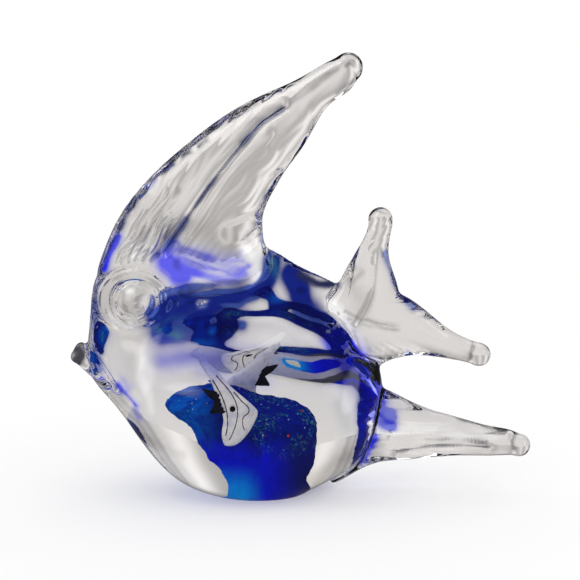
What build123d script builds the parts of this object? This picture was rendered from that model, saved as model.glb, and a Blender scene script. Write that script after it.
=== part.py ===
"""A solid glass angelfish ornament that stands on its own flat base.

X runs from the mouth to the tail, Y through the flanks, Z up. The origin is the middle of the flat base.
The clear body is cast round a cobalt ground, a small glass fish and coloured flecks. The fins, the lips
and the eyes are clear bits that were put on hot, so each of them ends exactly on the body's skin.
All sizes are in millimetres.
"""

from build123d import *
import math
import os

# Body, from the flat base up to where the back closes inside the dorsal fin
base_length = 27.0
base_depth = 24.0
nose_reach = 51.3
rear_reach = 36.5
body_height = 72.0
body_half_depth = 24.0

# Height of each level, its reach to the nose and to the rear, its depth, and how far its bulk lies to the nose
body_shares = (
    (0.022, 0.380, 0.412, 0.680, 0.00),
    (0.061, 0.495, 0.570, 0.800, 0.00),
    (0.118, 0.587, 0.735, 0.905, 0.00),
    (0.188, 0.667, 0.845, 0.975, 0.00),
    (0.271, 0.749, 0.915, 0.990, 0.00),
    (0.361, 0.842, 0.955, 0.912, 0.00),
    (0.451, 0.948, 0.957, 0.767, 0.05),
    (0.535, 0.990, 0.925, 0.625, 0.15),
    (0.618, 0.990, 0.885, 0.470, 0.35),
    (0.701, 0.977, 0.840, 0.325, 0.60),
    (0.785, 0.968, 0.760, 0.250, 0.75),
    (0.861, 0.950, 0.575, 0.195, 0.60),
    (0.931, 0.905, 0.280, 0.130, 0.40),
    (1.000, 0.800, 0.000, 0.060, 0.20),
)

# Dorsal fin, drawn up and back into a sickle
dorsal_height = 63.6
dorsal_lean = 46.1
dorsal_chord = 49.5
dorsal_thickness = 13.0
dorsal_root_x = -21.5
dorsal_sink = 12.2
dorsal_tip_radius = 4.4

# Rise, lean, chord and thickness of each section of the dorsal fin, and its turn in degrees
dorsal_shares = (
    (0.000, 0.000, 0.970, 1.000),
    (0.129, -0.015, 1.000, 1.000),
    (0.255, -0.009, 0.883, 1.000),
    (0.373, 0.052, 0.804, 0.990),
    (0.491, 0.171, 0.703, 0.980),
    (0.608, 0.319, 0.586, 0.960),
    (0.714, 0.484, 0.469, 0.940),
    (0.813, 0.650, 0.335, 0.900),
    (0.912, 0.826, 0.218, 0.860),
    (1.000, 1.000, 0.162, 0.820),
)
dorsal_turns = (0.0, 0.0, 0.0, -2.0, -8.0, -16.0, -27.0, -37.0, -45.0, -51.0)

# Tail, two lobes drawn out of one bit
tail_chord = 24.0
tail_thickness = 11.5
tail_sink = 10.5
tail_root_z = 47.0
tail_tip_radius = 3.6
upper_lobe_rise = 33.0
upper_lobe_lean = 8.2
lower_lobe_reach = 37.0
lower_lobe_drop = 6.4

# Place along the lobe, drift across it, chord and thickness of each section, and its turn in degrees
upper_lobe_shares = (
    (0.000, 0.000, 1.000, 1.000),
    (0.190, 0.400, 0.890, 0.960),
    (0.390, 0.640, 0.750, 0.870),
    (0.590, 0.660, 0.530, 0.750),
    (0.790, 0.810, 0.335, 0.630),
    (1.000, 1.000, 0.280, 0.575),
)
upper_lobe_turns = (-50.0, -37.0, -17.0, -7.0, -3.0, 0.0)
lower_lobe_shares = (
    (0.000, 0.000, 1.000, 1.000),
    (0.180, -0.300, 0.940, 0.980),
    (0.360, -0.320, 0.800, 0.920),
    (0.535, -0.030, 0.580, 0.820),
    (0.695, 0.400, 0.395, 0.700),
    (0.850, 0.740, 0.305, 0.610),
    (1.000, 1.000, 0.280, 0.575),
)
lower_lobe_turns = (-60.0, -75.0, -90.0, -100.0, -108.0, -110.0, -110.0)

# Lower fin, drawn out behind the belly
lower_fin_sink = 16.5
lower_fin_root_z = 16.4
lower_fin_reach = 55.3
lower_fin_drop = 2.8
lower_fin_chord = 28.0
lower_fin_thickness = 14.0
lower_fin_tip_radius = 3.4
lower_fin_shares = (
    (0.000, 0.000, 1.000, 1.000),
    (0.160, -0.820, 0.865, 0.960),
    (0.310, -1.080, 0.745, 0.880),
    (0.460, -0.430, 0.575, 0.760),
    (0.600, -0.080, 0.457, 0.650),
    (0.740, 0.260, 0.375, 0.560),
    (0.870, 0.570, 0.308, 0.490),
    (1.000, 1.000, 0.235, 0.437),
)
lower_fin_turn = -90.0

# Lips, a short neck with a rolled lip above and below the mouth
lip_stand = 2.0
lip_z = 41.2
lip_rise_angle = 28.0
lip_neck_length = 7.0
lip_neck_radius = 4.8
lip_radius = 1.85
lip_spread = 1.15
lip_half_width = 2.8

# Eyes, a round clear button on each flank with a step and a small flat spot
eye_x = -36.2
eye_z = 57.0
eye_seat = 1.0
eye_out_angle = 8.0
eye_up_angle = 20.0
eye_radius = 6.8
eye_dome = 1.7
eye_step_radius = 4.3
eye_step_rise = 1.4
eye_spot_radius = 2.4
eye_spot_rise = 0.4
eye_sink = 4.5

# Cobalt ground, a cushion that widens upwards from just over the base and leans to the nose
ground_floor = 0.6
ground_height = 22.5
ground_half_length = 20.5
ground_side_cover = 10.5
ground_x = 0.5
ground_lean = -8.0

# Height of each level of the ground, its half length and half depth, and its lean
ground_shares = (
    (0.00, 0.33, 0.45, 0.00),
    (0.17, 0.42, 0.60, 0.10),
    (0.34, 0.55, 0.74, 0.25),
    (0.51, 0.72, 0.87, 0.45),
    (0.68, 0.87, 0.96, 0.66),
    (0.84, 0.97, 1.00, 0.84),
    (1.00, 0.84, 0.84, 1.00),
)

# Small fish, two flat white figures with dark threads, one before each side of the ground
fish_height = 25.0
fish_x = -8.2
fish_far_x = -3.8
fish_z = 27.2
fish_gap = 1.5
fish_lean_angle = 15.0
fish_thickness = 2.8
fish_tail_thickness = 1.3
thread_width = 0.42
fish_eye_radius = 0.8

# Height of each level of the small fish about its middle, its back and front edges, and its thickness
fish_shares = (
    (-0.475, -0.005, 0.080, 0.55),
    (-0.430, -0.035, 0.165, 0.82),
    (-0.360, -0.050, 0.235, 0.95),
    (-0.280, -0.045, 0.290, 1.00),
    (-0.200, -0.038, 0.330, 1.00),
    (-0.120, -0.060, 0.345, 1.00),
    (-0.050, -0.090, 0.290, 1.00),
    (0.030, -0.117, 0.200, 0.96),
    (0.110, -0.142, 0.105, 0.90),
    (0.190, -0.170, 0.020, 0.84),
    (0.270, -0.210, -0.045, 0.76),
    (0.350, -0.262, -0.115, 0.68),
    (0.430, -0.312, -0.195, 0.60),
    (0.500, -0.328, -0.268, 0.48),
)

# Lines of the threads across and up the small fish, and the place of its eye
front_thread_shares = (
    (0.070, 0.105),
    (0.125, 0.045),
    (0.185, -0.020),
    (0.240, -0.075),
    (0.243, -0.130),
    (0.195, -0.170),
    (0.178, -0.230),
    (0.205, -0.320),
)
long_thread_shares = (
    (-0.125, 0.300),
    (0.000, 0.150),
    (0.075, 0.040),
    (0.118, -0.080),
    (0.115, -0.210),
    (0.080, -0.330),
    (0.035, -0.420),
)
short_thread_shares = (
    (-0.165, 0.250),
    (-0.090, 0.120),
    (-0.030, -0.010),
    (0.005, -0.140),
    (0.012, -0.270),
    (-0.005, -0.380),
)
fish_eye_share = (0.064, -0.088)
fish_tail_shares = (
    (0.020, 0.060),
    (-0.130, 0.110),
    (-0.290, 0.150),
    (-0.215, 0.060),
    (-0.135, 0.000),
    (-0.190, -0.140),
    (0.020, -0.130),
)

# Flecks, chips of coloured glass half sunk in the ground: turn round the ground in degrees, and height
fleck_length = 1.7
fleck_width = 1.1
fleck_thickness = 0.8
red_flecks = ((-70.0, 0.90), (-40.0, 0.56), (-126.0, 0.86), (62.0, 0.80))
green_flecks = (
    (-62.0, 0.93),
    (-54.0, 0.84),
    (-47.0, 0.92),
    (-76.0, 0.70),
    (-142.0, 0.90),
    (96.0, 0.84),
)
silver_flecks = (
    (-52.0, 0.68),
    (-34.0, 0.80),
    (-62.0, 0.58),
    (-104.0, 0.66),
    (-156.0, 0.80),
    (36.0, 0.76),
    (132.0, 0.72),
)

# Bubbles left in the clear glass: place of each towards the nose, the near flank and the top
bubble_radius = 0.45
bubble_shares = ((0.341, 0.200, 0.701), (0.273, 0.330, 0.604), (0.269, 0.700, 0.438))

# Points on each oval section that the drawn shapes are lofted through
oval_points = 12


def between(levels, height, column):
    """One column of a table of levels at a height, along straight lines between its rows."""
    value = levels[0][column]
    for low, high in zip(levels, levels[1:]):
        part = min(max((height - low[0]) / (high[0] - low[0]), 0), 1)
        value += part * (high[column] - low[column])
    return value


def oval(half_length, half_width, start=0, bulk=0):
    """Points round an ellipse from a share of a turn on, for a closed spline. With a bulk it is an egg."""
    turns = [2 * math.pi * (step / oval_points + start) for step in range(oval_points)]
    return [
        (half_length * math.cos(turn), half_width * math.sin(turn) * (1 - bulk * math.cos(turn)))
        for turn in turns
    ]


def even_oval(half_length, half_width):
    """An ellipse as one closed spline with its knots evenly spaced, for lobes that cross each other."""
    points = [Vector(*point) for point in oval(half_length, half_width)]
    knots = [step / oval_points for step in range(oval_points + 1)]
    return Edge.make_spline(points, periodic=True, parameters=knots)


def section(x, z, turn, chord, thickness):
    """An elliptic section across a fin at (x, z) in the fish's own plane: its plane and its two radii."""
    lean = math.radians(turn)
    plane = Plane(
        origin=(x, 0, z),
        x_dir=(math.cos(lean), 0, math.sin(lean)),
        z_dir=(-math.sin(lean), 0, math.cos(lean)),
    )
    return plane, chord / 2, thickness / 2


def flank(x, z):
    """How far the body's skin lies from its middle plane at (x, z)."""
    nose = between(body_levels, z, 1)
    rear = between(body_levels, z, 2)
    across = (2 * x - nose - rear) / (rear - nose)
    bulk = between(body_levels, z, 4)
    return between(body_levels, z, 3) * math.sqrt(max(1 - across**2, 0)) * (1 - bulk * across)


def on_ground(flecks):
    """Where flecks lie on the skin of the cobalt ground, each one turned to follow it."""
    places = []
    for turn, height_share in flecks:
        half_length = between(ground_shares, height_share, 1) * ground_half_length
        half_depth = between(ground_shares, height_share, 2) * ground_half_depth
        across = half_length * math.cos(math.radians(turn))
        along = half_depth * math.sin(math.radians(turn))
        height = ground_floor + height_share * (ground_height - ground_floor)
        facing = math.degrees(math.atan2(along / half_depth**2, across / half_length**2))
        middle = ground_x + between(ground_shares, height_share, 3) * ground_lean
        places.append(Location((middle + across, along, height), (0, 0, facing)))
    return places


def fish_points(shares):
    """Points of a small fish in its own leaning plane."""
    return [(across * fish_height, up * fish_height) for across, up in shares]


# Body skin, which every bit on it is trimmed to
body_levels = [(0, -base_length / 2, base_length / 2, base_depth / 2, 0)]
body_levels += [
    (height * body_height, -nose * nose_reach, rear * rear_reach, depth * body_half_depth, bulk)
    for height, nose, rear, depth, bulk in body_shares
]
with BuildPart() as envelope:
    for height, nose, rear, half_depth, bulk in body_levels:
        with BuildSketch(Plane((nose / 2 + rear / 2, 0, height))):
            with BuildLine():
                Spline(*oval((rear - nose) / 2, half_depth, 1 / 4, bulk), periodic=True)
            make_face()
    loft()

# Dorsal fin
dorsal_root_z = body_height - dorsal_sink
dorsal_sections = [
    section(
        dorsal_root_x + lean * dorsal_lean,
        dorsal_root_z + rise * dorsal_height,
        turn,
        chord * dorsal_chord,
        thickness * dorsal_thickness,
    )
    for (rise, lean, chord, thickness), turn in zip(dorsal_shares, dorsal_turns)
]
with BuildPart() as dorsal_fin:
    for plane, half_chord, half_thickness in dorsal_sections:
        with BuildSketch(plane):
            with BuildLine():
                Spline(*oval(half_chord, half_thickness), periodic=True)
            make_face()
    loft()
    with Locations((dorsal_root_x + dorsal_lean, 0, dorsal_root_z + dorsal_height)):
        Sphere(dorsal_tip_radius)
    add(envelope.part, mode=Mode.SUBTRACT)

# Tail
tail_root_x = rear_reach - tail_sink
upper_sections = [
    section(
        tail_root_x + drift * upper_lobe_lean,
        tail_root_z + rise * upper_lobe_rise,
        turn,
        chord * tail_chord,
        thickness * tail_thickness,
    )
    for (rise, drift, chord, thickness), turn in zip(upper_lobe_shares, upper_lobe_turns)
]
lower_sections = [
    section(
        tail_root_x + reach * lower_lobe_reach,
        tail_root_z - drop * lower_lobe_drop,
        turn,
        chord * tail_chord,
        thickness * tail_thickness,
    )
    for (reach, drop, chord, thickness), turn in zip(lower_lobe_shares, lower_lobe_turns)
]
with BuildPart() as upper_lobe:
    for plane, half_chord, half_thickness in upper_sections:
        with BuildSketch(plane):
            with BuildLine():
                add(even_oval(half_chord, half_thickness))
            make_face()
    loft()

with BuildPart() as tail_fin:
    for plane, half_chord, half_thickness in lower_sections:
        with BuildSketch(plane):
            with BuildLine():
                add(even_oval(half_chord, half_thickness))
            make_face()
    loft()
    add(upper_lobe.part)
    with Locations(
        (tail_root_x + upper_lobe_lean, 0, tail_root_z + upper_lobe_rise),
        (tail_root_x + lower_lobe_reach, 0, tail_root_z - lower_lobe_drop),
    ):
        Sphere(tail_tip_radius)
    add(envelope.part, mode=Mode.SUBTRACT)

# Lower fin
lower_fin_root_x = rear_reach - lower_fin_sink
lower_fin_sections = [
    section(
        lower_fin_root_x + reach * lower_fin_reach,
        lower_fin_root_z - drop * lower_fin_drop,
        lower_fin_turn,
        chord * lower_fin_chord,
        thickness * lower_fin_thickness,
    )
    for reach, drop, chord, thickness in lower_fin_shares
]
with BuildPart() as lower_fin:
    for plane, half_chord, half_thickness in lower_fin_sections:
        with BuildSketch(plane):
            with BuildLine():
                Spline(*oval(half_chord, half_thickness), periodic=True)
            make_face()
    loft()
    with Locations((lower_fin_root_x + lower_fin_reach, 0, lower_fin_root_z - lower_fin_drop)):
        Sphere(lower_fin_tip_radius)
    add(envelope.part, mode=Mode.SUBTRACT)

# Lips
lip_rise = math.radians(lip_rise_angle)
lip_neck = Plane(
    origin=(-nose_reach - lip_stand, 0, lip_z),
    x_dir=(math.sin(lip_rise), 0, math.cos(lip_rise)),
    z_dir=(math.cos(lip_rise), 0, -math.sin(lip_rise)),
)
with BuildPart() as lips:
    with BuildSketch(lip_neck):
        Ellipse(lip_spread + lip_radius, lip_half_width)
    with BuildSketch(lip_neck.offset(lip_neck_length)):
        Circle(lip_neck_radius)
    loft()
    with Locations(lip_neck):
        with Locations((lip_spread, 0, 0), (-lip_spread, 0, 0)):
            Cylinder(lip_radius, 2 * lip_half_width, rotation=(90, 0, 0))
    add(envelope.part, mode=Mode.SUBTRACT)

# Eyes
eye_out = math.radians(eye_out_angle)
eye_up = math.radians(eye_up_angle)
eye_plane = Plane(
    origin=(eye_x, eye_seat - flank(eye_x, eye_z), eye_z),
    x_dir=(math.cos(eye_out), -math.sin(eye_out), 0),
    z_dir=(-math.sin(eye_out) * math.cos(eye_up), -math.cos(eye_out) * math.cos(eye_up), math.sin(eye_up)),
)
eye_profile = Plane(origin=eye_plane.origin, x_dir=eye_plane.x_dir, z_dir=-eye_plane.y_dir)
eye_middle_radius = (eye_radius + eye_step_radius) / 2
eye_inner_radius = (eye_step_radius + eye_spot_radius) / 2
eye_boss = eye_dome + eye_step_rise
with BuildPart() as eye_blank:
    with BuildSketch(eye_profile):
        with BuildLine():
            Polyline((0, eye_boss + eye_spot_rise), (0, -eye_sink), (eye_radius, -eye_sink), (eye_radius, 0))
            Spline(
                (eye_radius, 0),
                (eye_middle_radius, eye_dome),
                (eye_step_radius, eye_dome),
                tangents=((0, 1), (-1, 0)),
            )
            Spline(
                (eye_step_radius, eye_dome),
                (eye_inner_radius, eye_boss),
                (eye_spot_radius, eye_boss),
                tangents=((0, 1), (-1, 0)),
            )
            Polyline(
                (eye_spot_radius, eye_boss),
                (eye_spot_radius, eye_boss + eye_spot_rise),
                (0, eye_boss + eye_spot_rise),
            )
        make_face()
    revolve(axis=Axis(eye_plane.origin, eye_plane.z_dir))

with BuildPart() as eye_left:
    add(eye_blank.part)
    add(envelope.part, mode=Mode.SUBTRACT)
    add(dorsal_fin.part, mode=Mode.SUBTRACT)

with BuildPart() as eye_right:
    add(eye_blank.part.mirror(Plane.XZ))
    add(envelope.part, mode=Mode.SUBTRACT)
    add(dorsal_fin.part, mode=Mode.SUBTRACT)

# Cobalt ground, without the flecks sunk into it
ground_half_depth = body_half_depth - ground_side_cover
with BuildPart() as ground_loft:
    for height, half_length, half_depth, lean in ground_shares:
        level = Plane((ground_x + lean * ground_lean, 0, ground_floor + height * (ground_height - ground_floor)))
        with BuildSketch(level):
            with BuildLine():
                Spline(
                    *oval(half_length * ground_half_length, half_depth * ground_half_depth, 1 / 4),
                    periodic=True,
                )
            make_face()
    loft()

# Flecks
with BuildPart() as flecks_red:
    with Locations(*on_ground(red_flecks)):
        Box(fleck_thickness, fleck_length, fleck_width)

with BuildPart() as flecks_green:
    with Locations(*on_ground(green_flecks)):
        Box(fleck_thickness, fleck_length, fleck_width)

with BuildPart() as flecks_silver:
    with Locations(*on_ground(silver_flecks)):
        Box(fleck_thickness, fleck_length, fleck_width)

with BuildPart() as cobalt_ground:
    add(ground_loft.part)
    add(flecks_red.part, mode=Mode.SUBTRACT)
    add(flecks_green.part, mode=Mode.SUBTRACT)
    add(flecks_silver.part, mode=Mode.SUBTRACT)

# Small fish on the near side, leaning in with the flank, its front outwards
fish_lean = math.radians(fish_lean_angle)
fish_back = ground_half_depth + fish_gap - (fish_z - ground_height) * math.tan(fish_lean)
fish_middle = Plane(
    origin=(fish_x, -fish_back - fish_thickness / 2, fish_z),
    x_dir=(1, 0, 0),
    z_dir=(0, -math.cos(fish_lean), math.sin(fish_lean)),
)
with BuildPart() as fish_loft:
    for up, back, front, thickness in fish_shares:
        across = (back + front) / 2 * fish_height
        level = Plane(
            origin=fish_middle.origin + fish_middle.x_dir * across + fish_middle.y_dir * (up * fish_height),
            x_dir=fish_middle.x_dir,
            z_dir=fish_middle.y_dir,
        )
        with BuildSketch(level):
            with BuildLine():
                Spline(
                    *oval((front - back) / 2 * fish_height, thickness / 2 * fish_thickness), periodic=True
                )
            make_face()
    loft()

with BuildPart() as near_fish_tail:
    with BuildSketch(fish_middle):
        with BuildLine():
            Polyline(*fish_points(fish_tail_shares), close=True)
        make_face()
    extrude(amount=fish_tail_thickness / 2, both=True)

with BuildPart() as near_fish_threads:
    with BuildSketch(fish_middle.offset(fish_tail_thickness / 2)):
        for shares in (front_thread_shares, long_thread_shares, short_thread_shares):
            with BuildLine():
                Spline(*fish_points(shares))
            trace(line_width=thread_width)
    extrude(amount=fish_thickness)
    add(fish_loft.part, mode=Mode.INTERSECT)

with BuildPart() as near_fish_eye:
    with BuildSketch(fish_middle.offset(fish_tail_thickness / 2)):
        with Locations(*fish_points((fish_eye_share,))):
            Circle(fish_eye_radius)
    extrude(amount=fish_thickness)
    add(fish_loft.part, mode=Mode.INTERSECT)

with BuildPart() as near_fish:
    add(fish_loft.part)
    add(near_fish_threads.part, mode=Mode.SUBTRACT)
    add(near_fish_eye.part, mode=Mode.SUBTRACT)
    add(near_fish_tail.part, mode=Mode.SUBTRACT)

# Its twin on the far side, turned half round
fish_turn_axis = Axis((fish_x / 2 + fish_far_x / 2, 0, 0), (0, 0, 1))
with BuildPart() as far_fish:
    add(near_fish.part.rotate(fish_turn_axis, 180))

with BuildPart() as far_fish_tail:
    add(near_fish_tail.part.rotate(fish_turn_axis, 180))

with BuildPart() as far_fish_threads:
    add(near_fish_threads.part.rotate(fish_turn_axis, 180))

with BuildPart() as far_fish_eye:
    add(near_fish_eye.part.rotate(fish_turn_axis, 180))

with BuildPart() as far_fish_loft:
    add(fish_loft.part.rotate(fish_turn_axis, 180))

# Clear body, cast round everything inside it
with BuildPart() as body_casing:
    add(envelope.part)
    for inside in (ground_loft, flecks_red, flecks_green, flecks_silver):
        add(inside.part, mode=Mode.SUBTRACT)
    for inside in (fish_loft, near_fish_tail, far_fish_loft, far_fish_tail):
        add(inside.part, mode=Mode.SUBTRACT)
    for to_nose, to_flank, up in bubble_shares:
        with Locations((-to_nose * nose_reach, -to_flank * body_half_depth, up * body_height)):
            Sphere(bubble_radius, mode=Mode.SUBTRACT)

body_casing.part.label = "body_casing"
dorsal_fin.part.label = "dorsal_fin"
tail_fin.part.label = "tail_fin"
lower_fin.part.label = "lower_fin"
lips.part.label = "lips"
eye_left.part.label = "eye_left"
eye_right.part.label = "eye_right"
cobalt_ground.part.label = "cobalt_ground"
flecks_red.part.label = "flecks_red"
flecks_green.part.label = "flecks_green"
flecks_silver.part.label = "flecks_silver"
near_fish.part.label = "near_fish"
near_fish_tail.part.label = "near_fish_tail"
near_fish_threads.part.label = "near_fish_threads"
near_fish_eye.part.label = "near_fish_eye"
far_fish.part.label = "far_fish"
far_fish_tail.part.label = "far_fish_tail"
far_fish_threads.part.label = "far_fish_threads"
far_fish_eye.part.label = "far_fish_eye"

os.makedirs("parts", exist_ok=True)
for piece in (
    body_casing,
    dorsal_fin,
    tail_fin,
    lower_fin,
    lips,
    eye_left,
    eye_right,
    cobalt_ground,
    flecks_red,
    flecks_green,
    flecks_silver,
    near_fish,
    near_fish_tail,
    near_fish_threads,
    near_fish_eye,
    far_fish,
    far_fish_tail,
    far_fish_threads,
    far_fish_eye,
):
    export_step(piece.part, f"parts/{piece.part.label}.step")
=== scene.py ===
import math
import random

import bmesh
import bpy
import numpy as np
from mathutils import Matrix, Vector, noise


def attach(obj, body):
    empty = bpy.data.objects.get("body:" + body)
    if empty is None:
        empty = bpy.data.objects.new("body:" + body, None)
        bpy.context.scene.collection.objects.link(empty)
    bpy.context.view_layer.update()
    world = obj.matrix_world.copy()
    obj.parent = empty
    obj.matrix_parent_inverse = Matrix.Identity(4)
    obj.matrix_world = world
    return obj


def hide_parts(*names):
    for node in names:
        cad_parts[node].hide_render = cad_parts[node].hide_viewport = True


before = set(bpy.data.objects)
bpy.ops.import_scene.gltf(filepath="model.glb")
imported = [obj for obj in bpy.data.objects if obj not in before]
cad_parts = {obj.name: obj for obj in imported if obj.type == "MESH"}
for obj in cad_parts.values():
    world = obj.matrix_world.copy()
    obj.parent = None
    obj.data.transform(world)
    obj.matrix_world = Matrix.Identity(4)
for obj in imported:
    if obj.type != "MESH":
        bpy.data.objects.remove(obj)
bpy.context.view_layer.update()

MM = 0.001
TURN = 2 * math.pi


# Helpers for meshes


def node_object(name):
    return bpy.data.objects[name]


def link(obj):
    bpy.context.scene.collection.objects.link(obj)
    return obj


def apply_modifiers(obj):
    bpy.context.view_layer.update()
    graph = bpy.context.evaluated_depsgraph_get()
    mesh = bpy.data.meshes.new_from_object(obj.evaluated_get(graph))
    obj.modifiers.clear()
    obj.data = mesh


def remeshed(obj, voxel, smoothing):
    """Makes the object one closed skin, rounded over as hot glass is. The voxel is in millimetres."""
    remesh = obj.modifiers.new("remesh", "REMESH")
    remesh.mode = "VOXEL"
    remesh.voxel_size = voxel * MM
    smooth = obj.modifiers.new("smooth", "SMOOTH")
    smooth.factor = 0.5
    smooth.iterations = smoothing
    apply_modifiers(obj)
    for face in obj.data.polygons:
        face.use_smooth = True


def points_of(mesh, what="co"):
    """The places or normals of a mesh's points, one row each, the places in millimetres."""
    rows = np.empty(len(mesh.vertices) * 3)
    mesh.vertices.foreach_get(what, rows)
    rows = rows.reshape(-1, 3)
    return rows / MM if what == "co" else rows


def set_points(mesh, places):
    mesh.vertices.foreach_set("co", (places * MM).ravel())
    mesh.update()


def smooth_step(value, low, high):
    t = np.clip((value - low) / (high - low), 0, 1)
    return t * t * (3 - 2 * t)


def bell(distance, width):
    """1 at no distance, falling off smoothly over the width."""
    return np.exp(-((distance / width) ** 2))


def wave(length, pitch):
    return np.sin(TURN * length / pitch)


def dress(obj, mat):
    obj.data.materials.clear()
    obj.data.materials.append(mat)


def ride(obj, slot, *replaced):
    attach(obj, "root")
    if replaced:
        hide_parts(*replaced)


# Clear glass: one skin over all the clear pieces

CLEAR_NODES = ("body_casing", "dorsal_fin", "tail_fin", "lower_fin", "lips", "eye_left", "eye_right")
SKIN_VOXEL = 0.5
SKIN_SMOOTHING = 14
WELD_REACH = 1e-7


def outer_shell(name):
    """A clear node's widest closed skin as a bmesh, without the skins of what is cut out inside it."""
    bm = bmesh.new()
    bm.from_mesh(node_object(name).data)
    bmesh.ops.remove_doubles(bm, verts=bm.verts, dist=WELD_REACH)
    left = set(bm.verts)
    groups = []
    while left:
        seed = left.pop()
        group = {seed}
        stack = [seed]
        while stack:
            for edge in stack.pop().link_edges:
                for vert in edge.verts:
                    if vert in left:
                        left.discard(vert)
                        group.add(vert)
                        stack.append(vert)
        groups.append(group)
    widest = max(groups, key=lambda g: max(v.co.x for v in g) - min(v.co.x for v in g))
    bmesh.ops.delete(bm, geom=[v for v in bm.verts if v not in widest], context="VERTS")
    return bm


def join_shells(names):
    joined = bmesh.new()
    for name in names:
        bm = outer_shell(name)
        temp = bpy.data.meshes.new("temp")
        bm.to_mesh(temp)
        bm.free()
        joined.from_mesh(temp)
        bpy.data.meshes.remove(temp)
    mesh = bpy.data.meshes.new("clear_glass")
    joined.to_mesh(mesh)
    joined.free()
    return link(bpy.data.objects.new("clear_glass", mesh))


# Places on the clear glass are read off the photograph, in its pixels. The scale turns them to millimetres
PHOTO_SCALE = 0.29
PHOTO_MIDDLE = 262
PHOTO_FLOOR = 495
ROUTE_STEPS = 14
FAR_AWAY = 1e3


def from_photo(place):
    """The x and z in millimetres of a place in the photograph."""
    return ((place[0] - PHOTO_MIDDLE) * PHOTO_SCALE, (PHOTO_FLOOR - place[1]) * PHOTO_SCALE)


def curve_point(a, b, c, d, t):
    """A point on the smooth curve from b to c, whose neighbours are a and d."""
    return 0.5 * (
        2 * b + (c - a) * t + (2 * a - 5 * b + 4 * c - d) * t * t + (3 * b - a - 3 * c + d) * t**3
    )


def away_from(places, route):
    """How far each point lies, seen from the side, from a smooth curve through places in the photograph."""
    knots = [Vector(from_photo(p)) for p in route]
    knots = [2 * knots[0] - knots[1], *knots, 2 * knots[-1] - knots[-2]]
    nearest = np.full(len(places), FAR_AWAY)
    for span in zip(knots, knots[1:], knots[2:], knots[3:]):
        for k in range(ROUTE_STEPS):
            on = curve_point(*span, k / ROUTE_STEPS)
            nearest = np.minimum(nearest, np.hypot(places[:, 0] - on.x, places[:, 2] - on.y))
    return nearest


# Folds left by the pincers: route in the photograph, half width and height in millimetres
FOLDS = (
    # The sharp fold along the dorsal fin, and the low ridge beside it
    (((166, 250), (182, 226), (200, 200), (220, 170), (240, 146), (262, 122), (286, 106)), 1.0, -1.8),
    (((176, 250), (196, 222), (216, 190), (240, 160), (270, 132)), 1.2, 0.5),
    # The roll round the rear foot of the dorsal fin and on to the eye, and a low one inside it
    (
        ((232, 232), (250, 222), (262, 236), (262, 264), (244, 280), (214, 284), (182, 292), (160, 304)),
        2.3,
        1.3,
    ),
    (((184, 262), (212, 272), (240, 268)), 1.8, 0.7),
    # The hollow over the ground, and the two rolls down the shoulder
    (((152, 326), (176, 306), (214, 303), (252, 314), (291, 304), (322, 288)), 3.2, -0.5),
    (((283, 268), (318, 300), (350, 345), (366, 400), (368, 440)), 3.6, 0.5),
    (((232, 330), (280, 330), (330, 366), (352, 420)), 4.0, 0.6),
    # Creases behind the lips
    (((95, 350), (108, 364), (122, 384)), 1.0, -0.9),
    (((88, 340), (84, 352), (90, 366)), 0.9, -0.8),
    # Creases up the tail's front edge, along its lower edge and up its middle, and along the lower fin
    (((332, 330), (346, 300), (352, 262), (350, 236)), 1.4, -0.8),
    (((350, 352), (392, 362), (440, 376)), 1.4, -0.8),
    (((356, 328), (372, 296), (377, 250)), 1.2, -0.7),
    (((392, 434), (450, 434), (512, 438)), 0.9, -0.6),
    (((398, 452), (440, 446), (496, 449)), 0.9, -0.6),
)

CLEAR = (0.76, 0.742, 0.732)
# Colours of the painted highlights, painted shade and painted reflections laid into the clear glass
WHITE = (1.0, 1.0, 1.0)
COOL = (0.50, 0.53, 0.55)
OLIVE = (0.36, 0.33, 0.28)
NAVY = (0.004, 0.014, 0.21)
INDIGO = (0.04, 0.05, 0.62)
TEAL = (0.02, 0.15, 0.26)
BLUE = (0.015, 0.02, 0.85)
VIOLET = (0.13, 0.13, 0.95)
MAUVE = (0.12, 0.12, 0.62)
LILAC = (0.42, 0.43, 0.85)
GREY = (0.47, 0.455, 0.435)
SLATE = (0.07, 0.10, 0.36)
PAINTED_SHADE_GREY = (0.06, 0.06, 0.08)
PAINTED_SHADE_DARK = (0.02, 0.025, 0.09)
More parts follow.
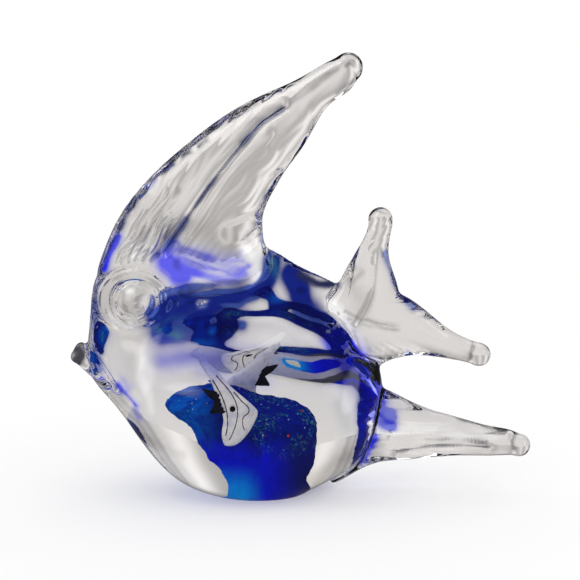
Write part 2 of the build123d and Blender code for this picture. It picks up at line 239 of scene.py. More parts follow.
# Painted highlights, painted shade and painted reflections laid into the clear glass's colour, each over the
# ones before it: route in the photograph, half width in millimetres, strength and colour
PAINTED_LIGHTS = (
    # Painted grey shade round the eye, by the nose and at the foot of the dorsal fin
    (((124, 298), (146, 304)), 8.0, 0.75, GREY),
    (((142, 313), (146, 315)), 2.3, 0.7, GREY),
    (((132, 350), (140, 372), (150, 384)), 3.5, 0.4, GREY),
    (((196, 226), (214, 236), (236, 240)), 5.0, 0.5, GREY),
    (((150, 216), (164, 226)), 4.0, 0.3, GREY),
    # Painted highlights: the bright band above the arc and bright glass under the shoulder, with painted
    # cool shade low on it
    (((150, 306), (182, 287), (220, 282), (250, 279), (261, 262), (262, 240)), 1.9, 1.3, WHITE),
    (((244, 250), (251, 255)), 1.7, 1.3, WHITE),
    (((330, 300), (344, 322), (358, 348)), 1.7, 1.2, WHITE),
    (((268, 334), (300, 348), (330, 374), (350, 408), (358, 432)), 3.2, 1.0, WHITE),
    (((336, 396), (346, 420)), 2.2, 0.7, COOL),
    # Painted highlights and painted olive shade at the rear and at the front of the ground
    (((312, 470), (330, 456), (346, 448)), 3.0, 0.8, OLIVE),
    (((146, 352), (143, 368), (152, 386), (156, 402)), 1.2, 1.0, WHITE),
    (((112, 402), (132, 422), (160, 438), (186, 444)), 1.5, 0.8, OLIVE),
    (((166, 452), (188, 468), (208, 484)), 4.5, 1.2, WHITE),
    # Painted highlights on the eye
    (((129, 285), (133, 287)), 0.8, 1.2, WHITE),
    (((131, 315), (133, 318)), 0.6, 1.0, WHITE),
    # Painted highlights and painted shade along the comb strokes at the front foot of the dorsal fin
    (((134, 257), (139, 244)), 0.6, 1.6, WHITE),
    (((141, 257), (147, 243)), 0.6, 1.6, WHITE),
    (((149, 257), (155, 243)), 0.6, 1.6, WHITE),
    (((130, 257), (137, 243), (148, 222)), 0.4, 0.7, PAINTED_SHADE_GREY),
    (((137, 258), (144, 244), (158, 216)), 0.4, 0.7, PAINTED_SHADE_GREY),
    (((145, 258), (152, 244), (166, 214)), 0.4, 0.8, PAINTED_SHADE_GREY),
    (((153, 258), (160, 246), (176, 214)), 0.45, 0.9, PAINTED_SHADE_DARK),
    # Painted shade along the drawn lines of the tail and the lower fin
    (((356, 328), (372, 296), (377, 250)), 0.5, 0.4, PAINTED_SHADE_GREY),
    (((348, 316), (372, 324), (400, 328)), 0.5, 0.7, PAINTED_SHADE_GREY),
    (((398, 452), (440, 446), (492, 448)), 0.45, 1.0, PAINTED_SHADE_GREY),
    (((456, 419), (482, 426), (508, 432)), 0.4, 0.9, PAINTED_SHADE_GREY),
    # Painted blue reflections and painted dark edge shade along the front edge, from above the lips up along
    # the dorsal fin
    (((100, 366), (97, 335), (96, 300)), 1.7, 1.4, SLATE),
    (((96, 300), (100, 270), (108, 252)), 1.1, 0.8, SLATE),
    (((106, 268), (112, 250), (120, 234)), 1.4, 1.5, BLUE),
    (((122, 226), (130, 210), (137, 199)), 1.2, 1.6, PAINTED_SHADE_DARK),
    (((137, 199), (160, 170), (190, 144), (216, 126)), 0.55, 1.2, PAINTED_SHADE_DARK),
    (((150, 186), (158, 177)), 1.0, 1.0, LILAC),
    (((166, 171), (174, 163)), 0.9, 1.3, PAINTED_SHADE_DARK),
    (((184, 155), (193, 151)), 0.9, 1.3, PAINTED_SHADE_GREY),
    (((201, 146), (209, 139)), 0.8, 1.2, PAINTED_SHADE_GREY),
    (((216, 128), (240, 116), (258, 104)), 0.7, 0.6, PAINTED_SHADE_GREY),
    # Painted shade along the fold of the dorsal fin
    (((168, 248), (178, 232), (188, 216)), 1.7, 1.3, PAINTED_SHADE_DARK),
    (((160, 252), (172, 240)), 1.6, 1.2, NAVY),
    (((188, 216), (204, 194), (228, 162), (244, 142)), 0.75, 1.3, PAINTED_SHADE_DARK),
    (((244, 142), (262, 123), (284, 108)), 1.1, 1.2, PAINTED_SHADE_DARK),
    (((284, 108), (312, 90), (338, 70)), 0.45, 0.5, PAINTED_SHADE_GREY),
    (((140, 246), (160, 214), (182, 188)), 0.6, 0.5, PAINTED_SHADE_GREY),
    # Painted shade at the tip of the dorsal fin
    (((344, 68), (348, 65)), 0.4, 0.5, PAINTED_SHADE_GREY),
    (((336, 94), (345, 87), (353, 82)), 0.7, 0.8, PAINTED_SHADE_GREY),
    # Painted lilac and violet reflections at the foot of the dorsal fin
    (((192, 250), (214, 256), (238, 258)), 2.2, 0.7, LILAC),
    (((170, 262), (178, 268), (182, 276)), 3.0, 2.0, VIOLET),
    (((184, 266), (206, 272), (228, 277), (246, 270)), 1.3, 1.2, VIOLET),
    (((178, 246), (196, 253), (212, 258)), 1.0, 0.9, INDIGO),
    (((206, 256), (224, 262), (240, 264)), 0.9, 0.6, VIOLET),
    # Painted reflection of the cobalt: the blue arc over the ground, and painted veils under it
    (((159, 314), (176, 303), (206, 297), (238, 296)), 2.8, 3.0, NAVY),
    (((238, 293), (258, 288), (268, 276), (271, 258)), 2.2, 3.0, NAVY),
    (((166, 326), (188, 322), (212, 318)), 3.8, 2.6, NAVY),
    (((206, 322), (226, 320), (244, 322)), 2.2, 1.4, NAVY),
    (((163, 324), (172, 328), (180, 331)), 1.3, 0.8, TEAL),
    (((272, 262), (276, 274)), 1.2, 0.7, TEAL),
    (((166, 354), (190, 350), (222, 354)), 3.4, 1.0, MAUVE),
    (((200, 362), (232, 368), (270, 374)), 2.2, 0.6, LILAC),
    # Painted reflection of the cobalt on the shoulder, with a line of painted shade
    (((292, 276), (299, 292), (304, 312)), 3.2, 2.2, NAVY),
    (((304, 308), (328, 330), (344, 348)), 3.0, 1.5, NAVY),
    (((338, 342), (356, 364), (374, 394)), 3.4, 2.4, BLUE),
    (((300, 275), (318, 284), (338, 284)), 1.1, 1.2, PAINTED_SHADE_DARK),
    # Painted blue reflections at the foot of the lower fin and on the chin
    (((370, 408), (381, 419), (392, 424)), 1.7, 2.0, INDIGO),
    (((372, 438), (364, 450), (361, 462)), 1.5, 1.3, BLUE),
    (((120, 380), (132, 390), (139, 398)), 1.1, 1.3, BLUE),
    (((137, 402), (141, 410)), 1.2, 0.8, VIOLET),
    # Painted shade along the chin's edge, and between the lips
    (((60, 372), (78, 400), (110, 440)), 0.8, 0.5, PAINTED_SHADE_GREY),
    (((76, 348), (80, 354), (77, 361)), 1.4, 1.5, PAINTED_SHADE_GREY),
    # Painted blue-grey reflection along the tail's rear edge, a painted highlight along the lower fin, and
    # painted grey shade on the tail's front
    (((385, 252), (390, 272), (400, 292), (414, 306)), 1.1, 1.2, SLATE),
    (((376, 434), (420, 432), (470, 436), (515, 438)), 0.5, 1.3, WHITE),
    (((352, 286), (362, 300), (360, 322)), 2.4, 0.5, GREY),
    # Painted highlights of the bubbles
    (((202, 301), (204, 301)), 0.75, 1.3, WHITE),
    (((213, 325), (215, 325)), 0.75, 1.3, WHITE),
    # Painted shade at the tail's front edge, and painted dark rings at the tips of the tail and the lower
    # fin
    (((350, 280), (362, 270)), 1.0, 0.6, PAINTED_SHADE_GREY),
    (((366, 222), (372, 209), (388, 214)), 0.45, 0.7, PAINTED_SHADE_GREY),
    (((474, 345), (471, 354), (474, 363)), 0.45, 0.9, PAINTED_SHADE_GREY),
    (((516, 436), (513, 443), (516, 450)), 0.45, 0.8, PAINTED_SHADE_GREY),
)
PAINTED_LIGHT_DRIFT = 5.0
PAINTED_LIGHT_DRIFT_REACH = 0.7

# What follows is in millimetres, apart from shares, and from routes and middles, which are places in the
# photograph. A foot, front, rear, top or start is a ramp over which something sets in or ends. A centre,
# given by x and z, and a reach turn the angle round that centre into a length
FIN_FOOT = (62, 70)
FIN_FRONT = (-46, -38)
FIN_REAR = (22, 32)

RIDGE_CENTRE = (-75.0, 10.0)
RIDGE_REACH = 95.0
RIDGE_PITCH = 2.2
RIDGE_HEIGHT = 0.07
RIDGE_DRIFT = 9.0
RIDGE_UNEVEN_SHARE = 1.5
RIDGE_BEND = 2
RIDGE_PATCH_ROUTE = ((134, 256), (150, 242), (168, 222))
RIDGE_PATCH_HEIGHT = 0.45
RIDGE_PATCH_REACH = 4.5

SCALLOP_ROUTE = ((104, 250), (122, 208), (152, 166), (190, 134))
SCALLOP_REACH = 3.0
SCALLOP_PITCH = 6.0
SCALLOP_DEPTH = 0.3

DRAW_LINE_PITCH = 2.4
DRAW_LINE_HEIGHT = 0.11
DRAW_LINE_START = (26, 34)
TAIL_CENTRE = (15, 55)
TAIL_REACH = 35
TAIL_LOWEST = 34
LOWER_FIN_HIGHEST = 30
LOWER_FIN_SLOPE_SHARE = 0.08

EYE_MIDDLE = (137, 298)
# Half length and half height of each ring, the share of them that is its width, and how far it stands out
EYE_RINGS = ((10.0, 8.6, 0.13, 0.85), (6.0, 5.6, 0.17, 0.75))
EYE_RING_SHARE = 0.93
EYE_SPOT_MIDDLE = (144, 314)
EYE_SPOT_RADIUS = 2.6
EYE_SPOT_DEPTH = 0.6
EYE_SPOT_RIM_SHARES = (0.75, 1.05)

WAVE_PITCH = 13.0
WAVE_HEIGHT = 0.22
WAVE_START = (1, 6)

FAR_SWELL = 3.2
SWELL_FRONT = (-14, -4)
SWELL_REAR = (16, 27)
SWELL_FOOT = (33, 49)
SWELL_TOP = (52, 64)
SWELL_START = (1, 6)
TIP_FLAT_SHARE = 0.4
TIP_FLAT_START = (100, 122)
SOFTEN_ROUNDS = 3


def drift_of(places, pitch):
    """A slow random value for each point, the same in every run."""
    return np.array([noise.noise(Vector(place) / pitch) for place in places])


def soften(mesh):
    """Rounds over what is still sharp: each point moves half way to the middle of its neighbours."""
    edges = np.empty(len(mesh.edges) * 2, dtype=np.int64)
    mesh.edges.foreach_get("vertices", edges)
    starts, ends = edges.reshape(-1, 2).T
    count = len(mesh.vertices)
    neighbours = np.bincount(starts, minlength=count) + np.bincount(ends, minlength=count)
    for _ in range(SOFTEN_ROUNDS):
        places = points_of(mesh)
        total = np.zeros_like(places)
        for axis in range(3):
            total[:, axis] += np.bincount(starts, weights=places[ends, axis], minlength=count)
            total[:, axis] += np.bincount(ends, weights=places[starts, axis], minlength=count)
        set_points(mesh, (places + total / neighbours[:, None]) / 2)


def painted_light(mesh, places):
    """Keeps a colour at each point of the mesh: the clear glass's own colour with painted highlights,
    painted shade and painted reflections laid over each other.
    """
    drift = PAINTED_LIGHT_DRIFT_REACH * drift_of(places, PAINTED_LIGHT_DRIFT)
    shade = np.tile(np.array(CLEAR), (len(places), 1))
    for route, width, strength, colour in PAINTED_LIGHTS:
        cover = strength * bell(away_from(places, route) + drift, width)
        cover = np.minimum(cover, 1)[:, None]
        shade = shade * (1 - cover) + np.array(colour) * cover
    layer = mesh.attributes.new("painted_light", "FLOAT_COLOR", "POINT")
    layer.data.foreach_set("color", np.column_stack((shade, np.ones(len(places)))).ravel())


def fold_height(places):
    return sum(height * bell(away_from(places, route), width) for route, width, height in FOLDS)


def ridge_height(places, drift):
    """Fine ridges that fan out over the dorsal fin, highest in the combed patch at its front foot."""
    x, _, z = places.T
    fan = np.arctan2(z - RIDGE_CENTRE[1], x - RIDGE_CENTRE[0]) * RIDGE_REACH
    patch = bell(away_from(places, RIDGE_PATCH_ROUTE), RIDGE_PATCH_REACH)
    height = RIDGE_HEIGHT * (1 + RIDGE_UNEVEN_SHARE * drift) + RIDGE_PATCH_HEIGHT * patch
    return height * wave(fan + RIDGE_BEND * drift, RIDGE_PITCH)


def scallop_height(places):
    """Shallow scallops along the front edge of the dorsal fin."""
    x, _, z = places.T
    near_edge = bell(away_from(places, SCALLOP_ROUTE), SCALLOP_REACH)
    return near_edge * SCALLOP_DEPTH * wave(x + z, SCALLOP_PITCH)


def draw_line_height(places, drift):
    """Lines that drawing out left on the tail, from its foot to its tips, and along the lower fin."""
    x, _, z = places.T
    turn = np.arctan2(z - TAIL_CENTRE[1], x - TAIL_CENTRE[0]) * TAIL_REACH
    lines = np.where(z > TAIL_LOWEST, wave(turn + drift, DRAW_LINE_PITCH), 0)
    lines += np.where(z < LOWER_FIN_HIGHEST, wave(z + LOWER_FIN_SLOPE_SHARE * x + drift, DRAW_LINE_PITCH), 0)
    return DRAW_LINE_HEIGHT * (1 + drift) * lines * smooth_step(x, *DRAW_LINE_START)


def eye_height(places):
    """The rings of each eye, and the flat spot low in it."""
    x, _, z = places.T
    eye_x, eye_z = from_photo(EYE_MIDDLE)
    height = np.zeros(len(places))
    for half_x, half_z, width, rise in EYE_RINGS:
        ring = np.hypot((x - eye_x) / half_x, (z - eye_z) / half_z)
        height += rise * bell(ring - EYE_RING_SHARE, width)
    spot_x, spot_z = from_photo(EYE_SPOT_MIDDLE)
    spot_share = np.hypot(x - spot_x, z - spot_z) / EYE_SPOT_RADIUS
    return height - EYE_SPOT_DEPTH * (1 - smooth_step(spot_share, *EYE_SPOT_RIM_SHARES))


def far_swell(places):
    """How far the far flank stands out at half height, where the cobalt would else be mirrored."""
    x, y, z = places.T
    swell = smooth_step(x, *SWELL_FRONT) * (1 - smooth_step(x, *SWELL_REAR))
    swell *= smooth_step(z, *SWELL_FOOT) * (1 - smooth_step(z, *SWELL_TOP))
    return FAR_SWELL * swell * smooth_step(y, *SWELL_START)


def sculpt(mesh):
    """Gives both flanks the marks of the pincers, the rings of the eyes and the waves of hot glass."""
    places = points_of(mesh)
    normals = points_of(mesh, "normal")
    x, _, z = places.T
    drift = drift_of(places, RIDGE_DRIFT)
    on_fin = smooth_step(z, *FIN_FOOT) * smooth_step(x, *FIN_FRONT) * (1 - smooth_step(x, *FIN_REAR))
    shift = fold_height(places) + (ridge_height(places, drift) + scallop_height(places)) * on_fin
    shift += draw_line_height(places, drift) + eye_height(places)
    shift *= np.abs(normals[:, 1])
    shift += WAVE_HEIGHT * drift_of(places, WAVE_PITCH) * smooth_step(z, *WAVE_START)
    moved = places + normals * shift[:, None]
    moved[:, 1] += far_swell(places)
    moved[:, 1] *= 1 - TIP_FLAT_SHARE * smooth_step(z, *TIP_FLAT_START)
    # Paints highlights, shade and reflections into the glass's colour
    painted_light(mesh, places)
    set_points(mesh, moved)
    soften(mesh)


# Middle and radius of each bubble, in millimetres
BUBBLES = ((-18.0, -4.0, 56.6, 1.2), (-14.2, 1.0, 49.3, 1.0), (-14.5, 4.0, 30.2, 1.0))


def add_bubbles(mesh):
    """Round holes inside the clear glass: closed skins that face inwards."""
    bm = bmesh.new()
    bm.from_mesh(mesh)
    for *middle, radius in BUBBLES:
        made = bmesh.ops.create_icosphere(bm, subdivisions=4, radius=radius * MM)
        bmesh.ops.translate(bm, verts=made["verts"], vec=Vector(middle) * MM)
        faces = {face for vert in made["verts"] for face in vert.link_faces}
        bmesh.ops.reverse_faces(bm, faces=list(faces))
        for face in faces:
            face.smooth = True
    bm.to_mesh(mesh)
    bm.free()


# Materials


class Graph:
    """A node tree, with one short call for each kind of node that the materials share."""

    def __init__(self, tree):
        self.tree = tree
        tree.nodes.clear()

    def node(self, kind, inputs=None, **settings):
        made = self.tree.nodes.new("ShaderNode" + kind)
        for name, value in settings.items():
            setattr(made, name, value)
        for socket, value in (inputs or {}).items():
            self.feed(made.inputs[socket], value)
        return made

    def feed(self, socket, value):
        if isinstance(value, bpy.types.NodeSocket):
            self.tree.links.new(value, socket)
        else:
            socket.default_value = value

    def object_coords(self):
        return self.node("TexCoord").outputs["Object"]

    def parts(self, vector):
        return self.node("SeparateXYZ", {0: vector}).outputs

    def math(self, operation, a, b=0.0):
        return self.node("Math", {0: a, 1: b}, operation=operation).outputs[0]

    def times(self, a, b):
        return self.math("MULTIPLY", a, b)

    def step(self, value, low, high, out_low=0.0, out_high=1.0):
        inputs = {"Value": value, "From Min": low, "From Max": high, "To Min": out_low, "To Max": out_high}
        return self.node("MapRange", inputs, interpolation_type="SMOOTHSTEP").outputs["Result"]

    def across(self, place, ramp):
        """0 where the ramp starts and 1 where it ends, both in millimetres."""
        return self.step(place, ramp[0] * MM, ramp[1] * MM)

    def colour(self, factor, a, b):
        """Mixes two colours. They are the node's sockets 6 and 7, and the mix is its output 2."""
        made = self.node("Mix", {0: factor, 6: a, 7: b}, data_type="RGBA")
        return made.outputs[2]

    def shader(self, factor, a, b):
        return self.node("MixShader", {0: factor, 1: a, 2: b}).outputs[0]

    def noise(self, coords, scale, detail=2.0):
        return self.node("TexNoise", {"Vector": coords, "Scale": scale, "Detail": detail}).outputs["Fac"]

    def cells(self, coords, scale):
        """Three random greys, each the same all over a cell."""
        made = self.node("TexVoronoi", {"Vector": coords, "Scale": scale})
        return self.node("SeparateColor", {0: made.outputs["Color"]}).outputs

    def bump(self, height, distance, strength):
        return self.node("Bump", {"Height": height, "Distance": distance, "Strength": strength}).outputs[0]

    def end(self, shader, kind="OutputMaterial"):
        self.node(kind, {"Surface": shader})


def new_material(name):
    mat = bpy.data.materials.new(name)
    mat.use_nodes = True
    return mat, Graph(mat.node_tree)


def rgba(*tone):
    """A socket's colour from three numbers, or a grey from one."""
    return (*(tone * 3 if len(tone) == 1 else tone), 1)


SHADOW_TONE = rgba(0.92, 0.92, 0.93)


def clear_glass_material():
    """Clear glass with the ripples of hot working, its colour carrying painted highlights, painted shade and
    painted reflections. It lets lamps through, so its shadow is soft.
    """
    mat, g = new_material("clear_glass")
    ripple = g.bump(g.noise(g.object_coords(), scale=160, detail=1.0), distance=0.0001, strength=0.25)
    # The glass's own colour with painted highlights, painted shade and painted reflections
    tone = g.node("Attribute", attribute_name="painted_light").outputs["Color"]
    glass = g.node(
        "BsdfPrincipled",
        {"Base Color": tone, "Roughness": 0.0, "IOR": 1.5, "Transmission Weight": 1.0, "Normal": ripple},
    )
    shadow = g.node("BsdfTransparent", {"Color": SHADOW_TONE})
    is_shadow = g.node("LightPath").outputs["Is Shadow Ray"]
    g.end(g.shader(is_shadow, glass.outputs[0], shadow.outputs[0]))
    return mat


def sealed(g, colour, roughness, normal=None, metallic=0.0):
    """Glass sealed in glass: nothing gleams at its skin, so only its colour shows."""
    inputs = {"Base Color": colour, "Roughness": roughness, "Specular IOR Level": 0.0, "Metallic": metallic}
    if normal is not None:
        inputs["Normal"] = normal
    g.end(g.node("BsdfPrincipled", inputs).outputs[0])


COBALT_DEEP = rgba(0.001, 0.003, 0.55)
COBALT_BRIGHT = rgba(0.003, 0.012, 1.0)
# Painted shade towards the rear, and a glow at the front foot that is partly thin glass and partly painted
# light
COBALT_PAINTED_SHADE = rgba(0.004, 0.008, 0.18)
COBALT_PAINTED_GLOW = rgba(0.0, 0.38, 1.0)
CRUST_DARK = rgba(0.001, 0.004, 0.06)
CRUST_BLUE = rgba(0.002, 0.016, 0.40)
# A painted glow of light at the front of the crust
CRUST_PAINTED_GLOW = rgba(0.0, 0.12, 0.62)
SPECKLE_TEAL = rgba(0.004, 0.10, 0.14)
SPECKLE_PALE = rgba(0.08, 0.26, 0.32)
SPECKLE_RED = rgba(0.4, 0.04, 0.03)
# Ramps along x and up z, in millimetres, and how far the crust's border wanders
PAINTED_SHADE_X = (0, 10)
PAINTED_GLOW_X = (1, -6)
PAINTED_GLOW_Z = (13, 4)
CRUST_Z = (11.5, 20.5)
CRUST_DRIFT = 9 * MM
PAINTED_GLOW_RIM_X = (-10, -20)
SPECKLE_X = (-10, 4)


def cobalt_body(g, coords, x, z):
    """Bright at the foot, partly because the glass is thin there and partly as a painted glow where light
    comes in from below, and painted shade towards the rear.
    """
    body = g.colour(g.noise(coords, scale=420, detail=3.0), COBALT_DEEP, COBALT_BRIGHT)
    body = g.colour(g.across(x, PAINTED_SHADE_X), body, COBALT_PAINTED_SHADE)
    return g.colour(g.times(g.across(x, PAINTED_GLOW_X), g.across(z, PAINTED_GLOW_Z)), body, COBALT_PAINTED_GLOW)


def cobalt_crust(g, coords, x):
    """Navy with patches of fine speckle, and a paler rim at the front that is a painted glow of light coming
    through.
    """
    crust = g.colour(g.noise(coords, scale=700, detail=3.0), CRUST_DARK, CRUST_BLUE)
    mottle = g.step(g.noise(coords, scale=330, detail=3.0), 0.35, 0.6, 0.3, 1.0)
    crust = g.colour(g.times(g.across(x, PAINTED_GLOW_RIM_X), mottle), crust, CRUST_PAINTED_GLOW)
    patches = g.times(g.step(g.noise(coords, scale=190), 0.45, 0.58), g.across(x, SPECKLE_X))
    red, green, blue = g.cells(coords, scale=2600)[:3]
    for cell, low, high, speckle in (
        (red, 0.62, 0.9, SPECKLE_TEAL),
        (green, 0.88, 0.94, SPECKLE_PALE),
        (blue, 0.985, 0.99, SPECKLE_RED),
    ):
        crust = g.colour(g.times(patches, g.step(cell, low, high)), crust, speckle)
    return crust


def cobalt_material():
    """Dense cobalt glass under a crust of chips, with an uneven border between them."""
    mat, g = new_material("cobalt")
    coords = g.object_coords()
    x, _, z = g.parts(coords)
    blotch = g.math("SUBTRACT", g.noise(coords, scale=260, detail=3.0), 0.5)
    top = g.across(g.math("ADD", z, g.times(blotch, CRUST_DRIFT)), CRUST_Z)
    tone = g.colour(top, cobalt_body(g, coords, x, z), cobalt_crust(g, coords, x))
    grain = g.bump(g.noise(coords, scale=1200), distance=0.0002, strength=0.6)
    sealed(g, tone, roughness=0.35, normal=grain)
    return mat


MILK = rgba(0.88, 0.88, 0.9)
MILK_THIN = rgba(0.66, 0.69, 0.8)
MILK_BLUSH = rgba(0.78, 0.62, 0.6)


def white_material():
    """Dense white glass, mottled with thin places that let some blue through."""
    mat, g = new_material("white_glass")
    coords = g.object_coords()
    body = g.colour(g.step(g.noise(coords, scale=420, detail=3.0), 0.42, 0.68), MILK, MILK_THIN)
    body = g.colour(g.step(g.noise(coords, scale=900), 0.64, 0.76), body, MILK_BLUSH)
    grain = g.bump(g.noise(coords, scale=700), distance=0.0002, strength=0.5)
    sealed(g, body, roughness=0.4, normal=grain)
    return mat


BLACK_DENSE = rgba(0.002, 0.002, 0.004)
BLACK_WORN = rgba(0.012, 0.014, 0.03)
BLACK_THIN = rgba(0.01, 0.06, 0.5)
# The ramp up z over which it grows thin, in millimetres
BLACK_THIN_Z = (32.5, 35.5)


def black_material():
    """Dense black glass, dark blue where it is drawn thin at its upper tip."""
    mat, g = new_material("black_glass")
    coords = g.object_coords()
    height = g.parts(coords)[2]
    body = g.colour(g.noise(coords, scale=800), BLACK_DENSE, BLACK_WORN)
    tone = g.colour(g.across(height, BLACK_THIN_Z), body, BLACK_THIN)
    grain = g.bump(g.noise(coords, scale=900), distance=0.0001, strength=0.5)
    sealed(g, tone, roughness=0.3, normal=grain)
    return mat


THREAD_DARK = rgba(0.05, 0.03, 0.05)
THREAD_BROWN = rgba(0.2, 0.1, 0.1)
PUPIL_DARK = rgba(0.002)
PUPIL_WORN = rgba(0.012)


def thread_material():
    """Dark threads, browner where they are thin."""
    mat, g = new_material("thread_glass")
    thin = g.step(g.noise(g.object_coords(), scale=500), 0.4, 0.62)
    sealed(g, g.colour(thin, THREAD_DARK, THREAD_BROWN), roughness=0.35)
    return mat


def eye_material():
    mat, g = new_material("eye_glass")
    sealed(g, g.colour(g.noise(g.object_coords(), scale=1500), PUPIL_DARK, PUPIL_WORN), roughness=0.25)
    return mat


def fleck_material(name, dark, bright):
    """Mirror-coated chips, some bright and some in their own shade."""
    mat, g = new_material(name)
    gleam = g.step(g.noise(g.object_coords(), scale=1300, detail=1.0), 0.4, 0.6)
    sealed(g, g.colour(gleam, dark, bright), roughness=0.3, metallic=0.3)
    return mat


skin = join_shells(CLEAR_NODES)
remeshed(skin, SKIN_VOXEL, SKIN_SMOOTHING)
sculpt(skin.data)
add_bubbles(skin.data)
dress(skin, clear_glass_material())
ride(skin, "clear_body", *CLEAR_NODES)


# Sealed pieces


def piece_like(node, name, voxel, smoothing):
    """A rounded copy of a sealed node."""
    obj = link(bpy.data.objects.new(name, node_object(node).data.copy()))
    remeshed(obj, voxel, smoothing)
    return obj


# The ground's lumps, how far its front leans out over its foot, how far its rear foot is cut back, and
# how far the front of its crown rises, in millimetres
GROUND_VOXEL = 0.5
GROUND_SMOOTHING = 4
LUMP_HEIGHT = 0.45
LUMP_PITCH = 2.6
LUMP_ROUGHNESS = 0.9
LUMP_GAP = 2.0
LUMP_OCTAVES = 3
LUMP_START = (1, 4)
UNDERCUT = 6.5
UNDERCUT_FRONT = (0, 9)
UNDERCUT_TOP = (15, 22)
UNDERCUT_LEAN = (5, 12)
UNDERCUT_FOOT_SHARE = 0.4
REAR_CUT = 3.0
REAR_CUT_START = (0, 8)
REAR_CUT_TOP = (4, 13)
FRONT_RISE = 4.5
FRONT_RISE_START = (0, 14)
FRONT_RISE_FOOT = (13, 20)


def make_ground():
    """The cobalt ground, lumpy where its crust of chips was rolled on."""
    ground = piece_like("cobalt_ground", "cobalt_cushion", GROUND_VOXEL, GROUND_SMOOTHING)
    places = points_of(ground.data)
    normals = points_of(ground.data, "normal")
    x, _, z = places.T.copy()
    fractal = (LUMP_ROUGHNESS, LUMP_GAP, LUMP_OCTAVES)
    lumps = np.array([noise.fractal(Vector(place) / LUMP_PITCH, *fractal) for place in places])
    lumps *= LUMP_HEIGHT * smooth_step(z, *LUMP_START)
    front = smooth_step(-x, *UNDERCUT_FRONT) * (1 - smooth_step(z, *UNDERCUT_TOP))
    front *= UNDERCUT_FOOT_SHARE + (1 - UNDERCUT_FOOT_SHARE) * smooth_step(z, *UNDERCUT_LEAN)
    rear = smooth_step(x, *REAR_CUT_START) * (1 - smooth_step(z, *REAR_CUT_TOP))
    places += normals * lumps[:, None]
    rise = smooth_step(-places[:, 0], *FRONT_RISE_START) * smooth_step(places[:, 2], *FRONT_RISE_FOOT)
    places[:, 2] += FRONT_RISE * rise
    places[:, 0] += UNDERCUT * front - REAR_CUT * rear
    set_points(ground.data, places)
    dress(ground, cobalt_material())
    ride(ground, "cobalt", "cobalt_ground")
    return ground


# A chip's levels along its normal, each with its reach as a share, and how far its middle stands out, in
# millimetres
CHIP_LEVELS = ((-0.12, 0.8), (0.02, 1.0), (0.14, 0.7))
CHIP_LIFT = 0.06
CHIP_SIDES = (4, 5, 6)
CHIP_SIZE_SHARES = (0.45, 1.3)
CHIP_CORNER_SHARES = (0.8, 1.1)
CHIP_CORNER_DRIFT = 0.2
# Chips lie only where the crust's normal points up by at least this much
CHIP_LOWEST_NORMAL = -0.2


def add_chip(bm, draw, place, normal, size):
    """A small crooked plate, half sunk at a place with a normal."""
    radius = size * draw.uniform(*CHIP_SIZE_SHARES)
    sides = draw.choice(CHIP_SIDES)
    up = Vector(normal)
    side = up.orthogonal().normalized()
    other = up.cross(side)
    middle = Vector(place) + up * CHIP_LIFT
    rings = []
    for level, share in CHIP_LEVELS:
        ring = []
        for corner in range(sides):
            turn = TURN * (corner + draw.uniform(-CHIP_CORNER_DRIFT, CHIP_CORNER_DRIFT)) / sides
            reach = radius * share * draw.uniform(*CHIP_CORNER_SHARES)
            point = middle + side * reach * math.cos(turn) + other * reach * math.sin(turn) + up * level
            ring.append(bm.verts.new(point * MM))
        rings.append(ring)
    for low, high in zip(rings, rings[1:]):
        for corner in range(sides):
            after = (corner + 1) % sides
            bm.faces.new((low[corner], low[after], high[after], high[corner]))
    bm.faces.new(rings[0][::-1])
    bm.faces.new(rings[-1])


def scatter_specks(ground, name, count, size, seed, lowest):
    """Chips at random places over the crust of the ground, above a height."""
    draw = random.Random(seed)
    places = points_of(ground.data)
    normals = points_of(ground.data, "normal")
    on_crust = (places[:, 2] > lowest) & (normals[:, 2] > CHIP_LOWEST_NORMAL)
    bm = bmesh.new()
    for index in draw.sample(np.flatnonzero(on_crust).tolist(), count):
        add_chip(bm, draw, places[index], normals[index], size)
    mesh = bpy.data.meshes.new(name)
    bm.to_mesh(mesh)
    bm.free()
    return link(bpy.data.objects.new(name, mesh))


ground = make_ground()
# Duller and brighter shade, count, size in millimetres, random seed and least height in millimetres
SPECKS = {
    "red": (rgba(0.35, 0.02, 0.02), rgba(0.85, 0.12, 0.08), 7, 0.34, 3, 15.0),
    "green": (rgba(0.02, 0.25, 0.2), rgba(0.08, 0.38, 0.36), 30, 0.28, 5, 15.0),
    "silver": (rgba(0.2, 0.35, 0.5), rgba(0.4, 0.55, 0.65), 16, 0.22, 7, 14.0),
}
for shade, (dark, bright, count, size, seed, lowest) in SPECKS.items():
    name = f"specks_{shade}"
    specks = scatter_specks(ground, name, count, size, seed, lowest)
    dress(specks, fleck_material(name, dark, bright))
    ride(specks, f"fleck_{shade}", f"flecks_{shade}")

# Each part of a small fish, with its slot, voxel in millimetres, smoothing rounds and material
FISH_PARTS = (
    ("fish", "white", 0.3, 5, white_material()),
    ("fish_tail", "black", 0.2, 4, black_material()),
    ("fish_threads", "threads", 0.12, 2, thread_material()),
    ("fish_eye", "eye", 0.1, 3, eye_material()),
)
# How far each fish sits from its solid, in millimetres
FISH_SHIFT = {"near": (-1.5, 0, 2.2), "far": (0, 0, 0)}
for side in ("near", "far"):
    for part, slot, voxel, smoothing, mat in FISH_PARTS:
        piece = piece_like(f"{side}_{part}", f"{side}_{part}_glass", voxel, smoothing)
        piece.data.transform(Matrix.Translation(Vector(FISH_SHIFT[side]) * MM))
        dress(piece, mat)
        ride(piece, f"{slot}_{side}", f"{side}_{part}")


# Room

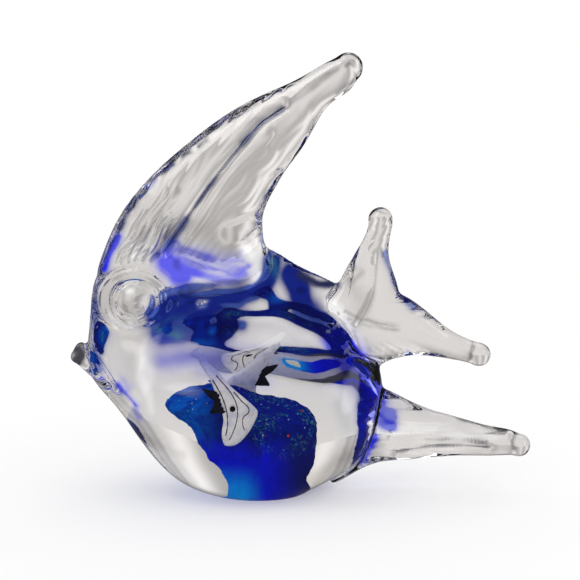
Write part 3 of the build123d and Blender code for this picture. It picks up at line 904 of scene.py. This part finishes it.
# What shows through the glass. Edges are ramps of the panels' wave or of the direction's parts
PANEL_COUNT = 4.0
PANEL_EDGE = (-0.97, -0.75)
PANEL_TONES = (0.22, 0.64)
SLAT_COUNT = 16.0
SLAT_TONE = 0.14
SIDE_EDGE = (0.25, 0.4)
SIDE_TONE = 0.22
PANEL_TOP_EDGE = (0.45, 0.62)
SOFTBOX_EDGE = (0.78, 0.88)
SOFTBOX_TONES = (0.34, 1.3)
THROUGH_GAIN = 1.24
MIRRORED_TONE = 0.10
# Lights that the glass mirrors: direction, full and zero half angle in degrees, and strength
MIRRORED_LIGHTS = (
    ((-0.55, -0.6, 0.75), 14, 20, 3.0),
    ((0.9, -0.5, 0.5), 9, 14, 2.0),
    ((0.1, 0.25, 1.0), 20, 30, 1.6),
    ((-1.0, 0.15, 0.35), 8, 13, 2.0),
)
WARM_GREEN = 0.985
WARM_BLUE = 0.975
LIT_TONE = rgba(0.9)
BACKDROP_TONE = rgba(1.0)


def spot(g, coords, direction, inner, outer, strength):
    """A soft round light in a direction."""
    dot = g.node("VectorMath", {0: coords, 1: Vector(direction).normalized()}, operation="DOT_PRODUCT")
    low, high = math.cos(math.radians(outer)), math.cos(math.radians(inner))
    return g.step(dot.outputs["Value"], low, high, 0.0, strength)


def background(g, value):
    """A background of one brightness, a little warm."""
    tone = g.node("CombineColor", {0: value, 1: g.times(value, WARM_GREEN), 2: g.times(value, WARM_BLUE)})
    return g.node("Background", {"Color": tone.outputs[0]}).outputs[0]


def seen_through(g, x, y, z):
    """What shows through the glass: pale slatted panels with dark gaps, bright sides and a softbox."""
    turn = g.math("ARCTAN2", y, x)
    panels = g.step(g.math("COSINE", g.times(turn, PANEL_COUNT)), *PANEL_EDGE, *PANEL_TONES)
    panels = g.math("ADD", panels, g.times(g.math("COSINE", g.times(turn, SLAT_COUNT)), SLAT_TONE))
    panels = g.math("ADD", panels, g.step(g.math("ABSOLUTE", x), *SIDE_EDGE, 0.0, SIDE_TONE))
    high = g.step(z, *PANEL_TOP_EDGE)
    softbox = g.step(z, *SOFTBOX_EDGE, *SOFTBOX_TONES)
    room = g.math("ADD", g.times(panels, g.math("SUBTRACT", 1.0, high)), g.times(softbox, high))
    return g.times(room, THROUGH_GAIN)


def make_room():
    """White to the camera, panels through the glass, and in mirror images a dim room with some lights."""
    world = bpy.data.worlds.new("room")
    bpy.context.scene.world = world
    world.use_nodes = True
    g = Graph(world.node_tree)
    coords = g.node("TexCoord").outputs["Generated"]
    mirrored = MIRRORED_TONE
    for light in MIRRORED_LIGHTS:
        mirrored = g.math("ADD", mirrored, spot(g, coords, *light))
    path = g.node("LightPath").outputs
    white = g.node("Background", {"Color": BACKDROP_TONE}).outputs[0]
    lit = g.node("Background", {"Color": LIT_TONE}).outputs[0]
    shown = g.shader(path["Is Glossy Ray"], lit, background(g, mirrored))
    through = background(g, seen_through(g, *g.parts(coords)))
    shown = g.shader(path["Is Transmission Ray"], shown, through)
    g.end(g.shader(path["Is Camera Ray"], shown, white), "OutputWorld")


FLOOR_RADIUS = 0.3
# The floor as it shows by itself, through the glass, and mirrored in it
FLOOR_TONES = (rgba(0.93), rgba(0.89, 0.88, 0.87), rgba(0.12))


def make_floor():
    bm = bmesh.new()
    bmesh.ops.create_circle(bm, cap_ends=True, segments=96, radius=FLOOR_RADIUS)
    mesh = bpy.data.meshes.new("floor")
    bm.to_mesh(mesh)
    bm.free()
    floor = link(bpy.data.objects.new("floor", mesh))
    mat, g = new_material("floor")
    path = g.node("LightPath").outputs
    pale, dim, dark = (g.node("BsdfDiffuse", {"Color": tone}).outputs[0] for tone in FLOOR_TONES)
    g.end(g.shader(path["Is Transmission Ray"], g.shader(path["Is Glossy Ray"], pale, dark), dim))
    mesh.materials.append(mat)


def sun(name, direction, half_angle, strength):
    data = bpy.data.lights.new(name, "SUN")
    data.angle = 2 * math.radians(half_angle)
    data.energy = strength
    obj = link(bpy.data.objects.new(name, data))
    obj.rotation_euler = (-Vector(direction)).to_track_quat("-Z", "Y").to_euler()


make_room()
make_floor()
sun("key", (-0.45, -0.35, 0.9), half_angle=18, strength=0.7)

# Camera. The view's width is what it shows at the target, in metres
TARGET = Vector((0.0081, 0, 0.0595))
ELEVATION = math.radians(8)
DISTANCE = 0.5
VIEW_WIDTH = 0.168
SENSOR_WIDTH = 36
camera_data = bpy.data.cameras.new("camera")
camera_data.lens = SENSOR_WIDTH * DISTANCE / VIEW_WIDTH
camera_data.clip_start = 0.01
camera = link(bpy.data.objects.new("camera", camera_data))
camera.location = TARGET + DISTANCE * Vector((0, -math.cos(ELEVATION), math.sin(ELEVATION)))
camera.rotation_euler = (TARGET - camera.location).to_track_quat("-Z", "Y").to_euler()
scene = bpy.context.scene
scene.camera = camera
scene.view_settings.view_transform = "Standard"
